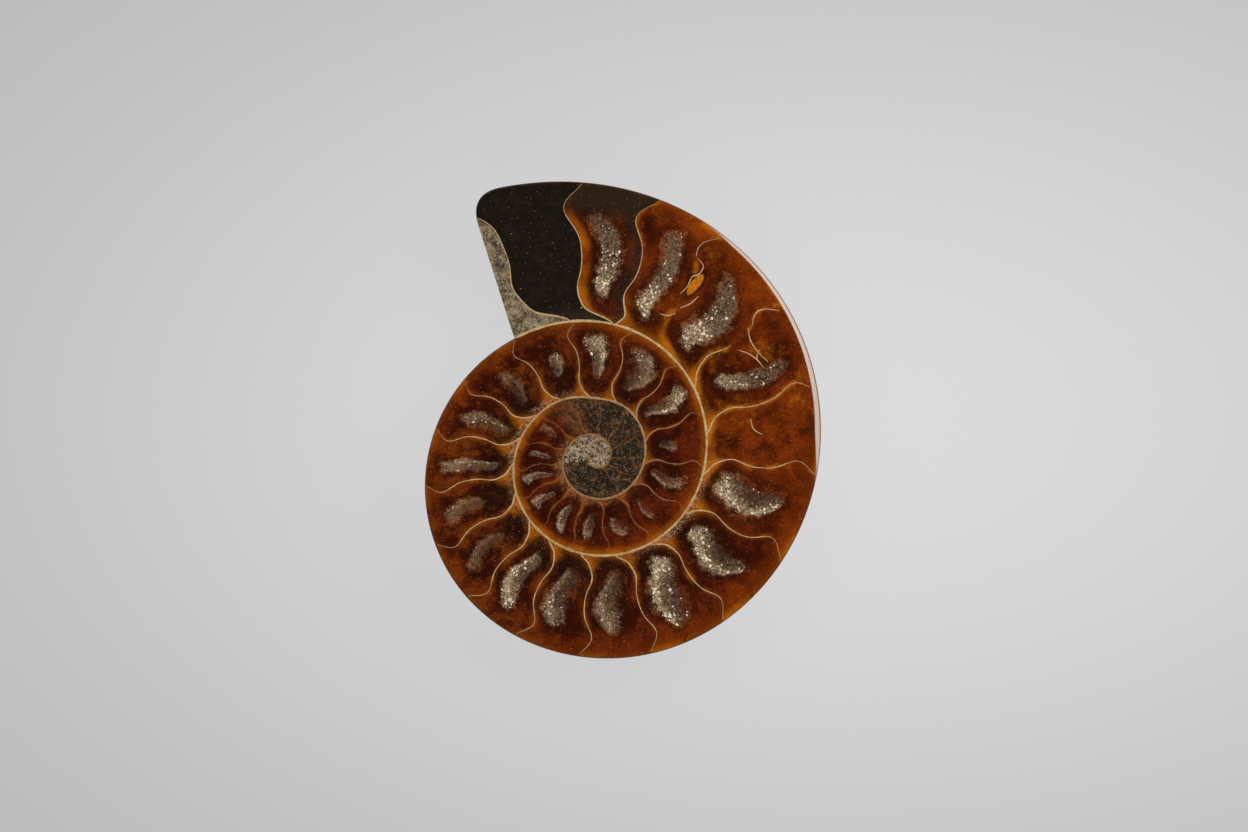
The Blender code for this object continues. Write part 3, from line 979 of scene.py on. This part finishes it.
def gritty_corners(p, colour):
    """Dark and pale grains crowd the inner wall in some parts of the coil."""
    fine, grit = p.fine, p.grit
    bits = p.dorsal * p.gritty * (1 - p.ramp(p.wall_near + (p.wisp - 0.5) * 0.8, 0.5, 1.3))
    hole = p.cells(1.5) + (fine - 0.5) * 0.2
    colour = p.mix((bits * (1 - p.ramp(hole, 0.26, 0.40))).clamp(), colour, OCHRE)
    colour = p.mix((bits * (1 - p.ramp(hole, 0.16, 0.27))).clamp(), colour, NEAR_BLACK)
    small_hole = p.cells(2.8) + (grit - 0.5) * 0.3
    colour = p.mix((bits * (1 - p.ramp(small_hole, 0.16, 0.30)) * 0.9).clamp(), colour, NEAR_BLACK)
    grains = p.ramp(grit + (fine - 0.5) * 0.6, 0.53, 0.62)
    return p.mix((bits * grains * 0.85).clamp(), colour, LIGHT_MATRIX)


def crystal_pockets(p, colour):
    """A thin dark and warm halo surrounds each pocket, which is grey-brown with pale grains; their crowding
    on the pocket's lit side is painted light.
    """
    cloud, wisp, fine, grit = p.cloud, p.wisp, p.fine, p.grit
    light, drift = p.light, p.drift
    ragged = p.attribute("pocket") + (wisp - 0.5) * 1.10 + (fine - 0.5) * 0.60
    lined = p.ramp(light, 0.02, 0.2)
    ring = p.ramp(ragged, -0.66, -0.30) * (1 - p.ramp(ragged, -0.22, 0.05)) * lined
    colour = p.mix(ring * 0.55 * p.ramp(cloud + (fine - 0.5) * 0.3, 0.25, 0.55), colour, NEAR_BLACK)
    around = p.ramp(ragged, -0.30, -0.12) * (1 - p.ramp(ragged, -0.12, 0.06)) * lined
    colour = p.mix(around * 0.40 * p.ramp(cloud + (wisp - 0.5) * 0.6, 0.46, 0.66), colour, GOLDEN_BROWN)
    outer_whorl = p.ramp(p.turned, 1.95, 2.25)
    inside = p.ramp(ragged, -0.25, 0.55) * lined * (p.attribute("fill") + (wisp - 0.5) * 0.8).clamp()
    patch = p.noise(0.55, 3, 0.6)
    tone = p.ramp(fine * 0.8 + grit * 0.4 + patch * 0.7 + drift * 0.16, 0.80, 1.12)
    hollow = p.mix(tone, POCKET_DARK, POCKET_MID)
    hollow = p.mix(p.attribute("brown") * 0.5, hollow, HONEY_GREY)
    colour = p.mix(inside * (0.30 + 0.62 * light) * (0.35 + 0.65 * outer_whorl), colour, hollow)
    scatter = p.ramp(ragged + (grit - 0.5) * 1.1 + (wisp - 0.5) * 0.5, -0.10, 0.50) * lined
    # Pale grains: partly their own colour, partly painted light on the pocket's lit side.
    pale = p.ramp(grit + (fine - 0.5) * 0.55 + drift * 0.13 + light * 0.05, 0.58, 0.76)
    pale = scatter * pale * (0.56 - 0.30 * outer_whorl + 0.50 * drift) * light
    return p.mix(pale.clamp(), colour, PALE_GRAIN), inside, scatter


def beside_black_stone(p, colour, scatter):
    """Amber lies before the black stone, and darkness seeps into the chamber beyond its first septum."""
    wisp, past_black = p.wisp, p.past_black
    crossed = p.ramp(past_black, -0.02, 0.04)
    amber_side = crossed * (1 - p.ramp(p.near + (wisp - 0.5) * 0.9, 0.5, 1.6)) * (1 - p.beyond)
    honey = p.mix(p.ramp(p.cloud + (wisp - 0.5) * 0.5, 0.35, 0.65), ORANGE_BROWN, AMBER)
    colour = p.mix((amber_side * (0.50 + 0.35 * p.patchy)).clamp(), colour, honey)
    seep = crossed * (1 - p.ramp(past_black + (wisp - 0.5) * 1.4, 0.8, 2.0))
    return p.mix(seep * (1 - scatter * 0.6) * 0.85, colour, BROWN_BLACK)


def grey_whorls(p, colour):
    """The innermost whorls are packed with grey grains, palest at the middle."""
    wisp, turned, grey = p.wisp, p.turned, p.grey
    tone = p.ramp(turned + (wisp - 0.5) * 0.12, 0.48, 0.60)
    grainy = p.mix(p.ramp(p.grit + (p.fine - 0.5) * 0.9 - tone * 0.12, 0.43, 0.57),
                   p.mix(tone, DARK_MATRIX, DARK_GRAIN), p.mix(tone, LIGHT_MATRIX, GREY_MATRIX))
    grainy = p.mix(p.ramp(wisp, 0.50, 0.64) * 0.45, grainy, OCHRE)
    rusty = p.ramp(turned + (wisp - 0.5) * 0.2, 1.22, 1.42)
    grainy = p.mix(rusty * 0.50, grainy, GOLDEN_BROWN)
    return p.mix(p.ramp(grey + (wisp - 0.5) * 0.3 * (1 - grey), 0.25, 0.8) * 0.94, colour, grainy)


def stone_and_sediment(p, colour):
    """Black stone fills the last chamber and the venter before it; sediment lies beyond the last septum."""
    wisp, fine, grit = p.wisp, p.fine, p.grit
    stone = p.mix(p.ramp(wisp + (fine - 0.5) * 0.4, 0.42, 0.74), BLACK_STONE, BROWN_BLACK)
    fleck = 1 - p.ramp(p.cells(0.8), 0.05, 0.09)
    stone = p.mix(fleck * p.ramp(p.cloud, 0.52, 0.6), stone, PALE_GRAIN)
    stone = p.mix(p.ramp(grit, 0.62, 0.72) * 0.35, stone, GREY_MATRIX)
    silt = p.dorsal * (1 - p.ramp(p.wall_near + (wisp - 0.5) * 1.4 + (fine - 0.5) * 0.6, 0.2, 2.4))
    stone = p.mix(silt * 0.65, stone, DARK_MATRIX)
    over_venter = p.ventral * p.ramp(p.wall_side + (wisp - 0.5) * 0.16, -0.30, -0.14)
    colour = p.mix(over_venter * p.ramp(p.past_black, -0.05, 0.05) * 0.95, colour, VENTER_STONE)
    colour = p.mix(p.ramp(p.past_stone, -0.05, 0.05), colour, stone)
    tone = p.ramp(grit + (wisp - 0.5) * 0.6 + (fine - 0.5) * 0.7, 0.30, 0.62)
    sediment = p.mix(tone, DARK_MATRIX, GREY_MATRIX)
    pale = p.ramp(wisp + (grit - 0.5) * 0.9 + (fine - 0.5) * 0.5, 0.44, 0.72)
    sediment = p.mix(pale * 0.6, sediment, LIGHT_MATRIX)
    return p.mix(p.ramp(p.attribute("past_last"), -0.05, 0.05), colour, sediment)


def amber_wedge(p, colour):
    """A gap filled with clear amber, dark around its edge."""
    wedge = p.attribute("wedge") + (p.wisp - 0.5) * 0.15
    colour = p.mix(p.ramp(wedge, -0.7, 0.0) * 0.7, colour, NEAR_BLACK)
    return p.mix(p.ramp(wedge, 0.0, 0.2), colour, p.mix(p.ramp(p.fine, 0.4, 0.6), AMBER, PALE_AMBER))


def dust_and_grain(p, colour):
    """Dust of broken crystal under the polish, with dark and brown grains."""
    fine, grit = p.fine, p.grit
    dust = 1 - p.ramp(p.cells(1.9), 0.05, 0.11)
    colour = p.mix(dust * 0.42, colour, PALE_GRAIN)
    colour = p.mix((1 - p.ramp(grit + (fine - 0.5) * 0.6, 0.30, 0.50)) * 0.45, colour, NEAR_BLACK)
    motes = p.ramp(grit + (fine - 0.5) * 0.5 + (p.cloud - 0.5) * 0.3, 0.60, 0.76)
    motes = motes * (1 - p.ramp(p.past_stone, -0.1, 0.1))
    return p.mix((motes * (0.44 + 0.32 * p.dark)).clamp(), colour, MOTE_BROWN)


def ground_edge(p, colour):
    """The wide part of the bevel is ground matt and pinkish, with a pale band that is partly frosted grinding
    and partly a painted highlight; the narrow edge is dark, partly the shell's brown and partly painted
    shade.
    """
    bevel, ground = p.attributes("bevel", "ground")
    # On the narrow edge EDGE_BROWN is partly the shell's brown and partly painted shade on the turned-down
    # edge.
    colour = p.mix(p.ramp(bevel, 0.05, 0.6) * 0.75, colour, p.mix(ground, EDGE_BROWN, RIM_BROWN))
    # Pale band on the wide bevel: partly frosted grinding, partly a painted highlight.
    frosted_highlight = ground * p.ramp(bevel, 0.02, 0.30) * (1 - p.ramp(bevel, 0.76, 0.88))
    return p.mix(frosted_highlight * 0.85, colour, FROSTED_HIGHLIGHT), p.ramp(bevel, 0.0, 0.3) * (1 - ground)


def face_material():
    """Polished calcite: maroon chambers, amber along the shell, grainy pockets, black and grey stone."""
    p = CutFace()
    colour = clear_venter(p, maroon_calcite(p))
    colour = gritty_corners(p, amber_by_septa(p, colour))
    colour, inside, scatter = crystal_pockets(p, colour)
    colour = grey_whorls(p, beside_black_stone(p, colour, scatter))
    colour = amber_wedge(p, stone_and_sediment(p, colour))
    colour, narrow = ground_edge(p, dust_and_grain(p, colour))
    p.bump(p.fine * 0.5 + p.grit * (0.25 + inside * 0.8), 0.012)
    dulled = (inside * 0.2 + narrow * 0.35 + p.grey * 0.12).clamp()
    return p.finish(colour, 0.16 + dulled + (p.fine - 0.5) * 0.06, Specular_IOR_Level=0.2)


def shell_material():
    """Shell: brown and faint in the inner whorls, cream and grainy in the outer ones."""
    p = Paint("cream_shell")
    age, wisp, grit = p.attribute("age"), p.noise(0.9, 4), p.noise(6.5, 5, 0.7)
    young = p.mix(p.ramp(grit, 0.36, 0.64), FAINT_SHELL, OCHRE)
    grown = p.mix(p.ramp(grit + (wisp - 0.5) * 0.7, 0.34, 0.60), TAN, CREAM)
    colour = p.mix(p.ramp(age + (wisp - 0.5) * 0.3, 0.10, 0.95), young, grown)
    colour = p.mix(p.ramp(wisp + (grit - 0.5) * 0.5, 0.46, 0.64) * 0.65, colour, SHELL_SHADE)
    p.bump(grit, 0.02)
    return p.finish(colour, 0.34 + (grit - 0.5) * 0.2, Specular_IOR_Level=0.2)


def crystal_material():
    """Small clear to white calcite points; their brightest white is partly painted glints."""
    p = Paint("druse_calcite")
    glow, brown, fine = p.attribute("glow"), p.attribute("brown"), p.noise(4.0, 3)
    colour = p.mix(p.ramp(glow + (fine - 0.5) * 0.15, 0.02, 0.34), POCKET_DARK, POCKET_MID)
    colour = p.mix(brown * 0.7, colour, HONEY_GREY)
    colour = p.mix(p.ramp(glow, 0.20, 0.72) * (1 - brown * 0.25), colour, SPARKLE)
    return p.finish(colour, 0.50 + 0.1 * fine, Specular_IOR_Level=0.05)


def flank_material():
    """Worn natural outside: brown shell with growth lines, grey sediment at the broken end."""
    p = Paint("worn_shell")
    cloud, wisp, grit = p.noise(0.16, 4), p.noise(0.8, 6, 0.62), p.noise(5.0, 5, 0.7)
    ribs, lines, broken = p.attributes("ribs", "lines", "broken")
    colour = p.mix(p.ramp(cloud + (wisp - 0.5) * 0.8, 0.38, 0.64), FLANK_DARK, FLANK_BROWN)
    colour = p.mix(p.ramp(wisp + (grit - 0.5) * 0.4, 0.50, 0.70) * 0.6, colour, MAROON)
    colour = p.mix(ribs * 0.35 * p.ramp(grit, 0.3, 0.7), colour, FLANK_TAN)
    sediment = p.mix(p.ramp(grit + (wisp - 0.5) * 0.5, 0.35, 0.68), DARK_MATRIX, GREY_MATRIX)
    colour = p.mix(broken, colour, sediment)
    streaks = p.ramp(lines + (grit - 0.5) * 0.8, 0.35, 0.75)
    colour = p.mix(streaks * (1 - broken) * 0.38, colour, FLANK_DARK)
    bare = p.ramp(p.noise(0.35, 6, 0.65) + (grit - 0.5) * 0.15, 0.56, 0.62)
    colour = p.mix((bare * (1 - broken) * 0.7).clamp(), colour, FLANK_TAN)
    p.bump(wisp * 1.2 + grit * 0.8, 0.05)
    return p.finish(colour, 0.48 + (wisp - 0.5) * 0.25)


# ---- stage -------------------------------------------------------------------------------------------------

def table_material():
    """Glowing table whose emission is painted as a pool of light, darkening slowly away from a place right of
    the fossil, with a painted contact shadow under it.
    """
    p = Paint("lit_table")
    x, y = p.place()
    # Painted pool of light in the emission colour.
    away_x, away_y = ((value - bright * MM) / (reach * MM)
                      for value, bright, reach in zip((x, y), TABLE_BRIGHT, TABLE_REACH))
    away = 1 - ((away_x * away_x + away_y * away_y) * -TABLE_FALL).maths("EXPONENT")
    glow = p.mix(away, TABLE_MIDDLE, TABLE_EDGE)
    beside_x, beside_y = x / MM - AXIS_X, y / MM - AXIS_Y
    # Painted contact shadow under the fossil.
    outside_painted_shadow = p.ramp(beside_x * beside_x + beside_y * beside_y, CONTACT_RADIUS ** 2, OVERHANG_RADIUS ** 2)
    glow = p.mix(1 - outside_painted_shadow, glow, TABLE_PAINTED_SHADOW)
    p.feed(p.shader.inputs["Emission Color"], glow)
    return p.finish(TABLE_GREY, 0.9, Emission_Strength=1.0)


def build_stage():
    size, level = TABLE_SIZE * MM, cad_box[0].z - TABLE_GAP * MM
    mesh = bpy.data.meshes.new("floor")
    corners = [(-size, -size, level), (size, -size, level), (size, size, level), (-size, size, level)]
    mesh.from_pydata(corners, [], [(0, 1, 2, 3)])
    mesh.materials.append(table_material())
    floor = bpy.data.objects.new("floor", mesh)
    bpy.context.scene.collection.objects.link(floor)


def area_light(name, azimuth, elevation, distance, size, power):
    """Square soft light aimed at the fossil; azimuth is anticlockwise from +X."""
    data = bpy.data.lights.new(name, "AREA")
    data.size, data.energy = size, power
    lamp = bpy.data.objects.new(name, data)
    a, e = math.radians(azimuth), math.radians(elevation)
    lamp.location = (distance * math.cos(a) * math.cos(e), distance * math.sin(a) * math.cos(e),
                     distance * math.sin(e))
    lamp.rotation_mode = "QUATERNION"
    lamp.rotation_quaternion = (-lamp.location).to_track_quat("-Z", "Y")
    bpy.context.scene.collection.objects.link(lamp)


def build_lights():
    for softbox in SOFTBOXES:
        area_light(*softbox)
    world = bpy.data.worlds.new("dim_room")
    world.use_nodes = True
    background = world.node_tree.nodes["Background"]
    background.inputs["Color"].default_value = (1, 1, 1, 1)
    background.inputs["Strength"].default_value = ROOM_LIGHT
    bpy.context.scene.world = world


def build_camera():
    """Looks straight down at the cut face from far enough away to keep its outline true."""
    data = bpy.data.cameras.new("camera")
    data.lens, data.sensor_width = LENS, SENSOR
    data.clip_start, data.clip_end = 0.01, 5.0
    camera = bpy.data.objects.new("camera", data)
    centre_x = (cad_box[0].x + cad_box[1].x) / 2 + VIEW_CENTRE[0] * MM
    centre_y = (cad_box[0].y + cad_box[1].y) / 2 + VIEW_CENTRE[1] * MM
    camera.location = (centre_x, centre_y, (TOP + VIEW_WIDTH * LENS / SENSOR) * MM)
    bpy.context.scene.collection.objects.link(camera)
    bpy.context.scene.camera = camera
    bpy.context.scene.view_settings.view_transform = "Standard"


build_camera()
shell = shell_material()
build_face(face_material())
build_flank(flank_material())
build_septa(shell)
build_shell_wall(shell)
build_shards(shell)
build_crystals(crystal_material())
build_stage()
build_lights()
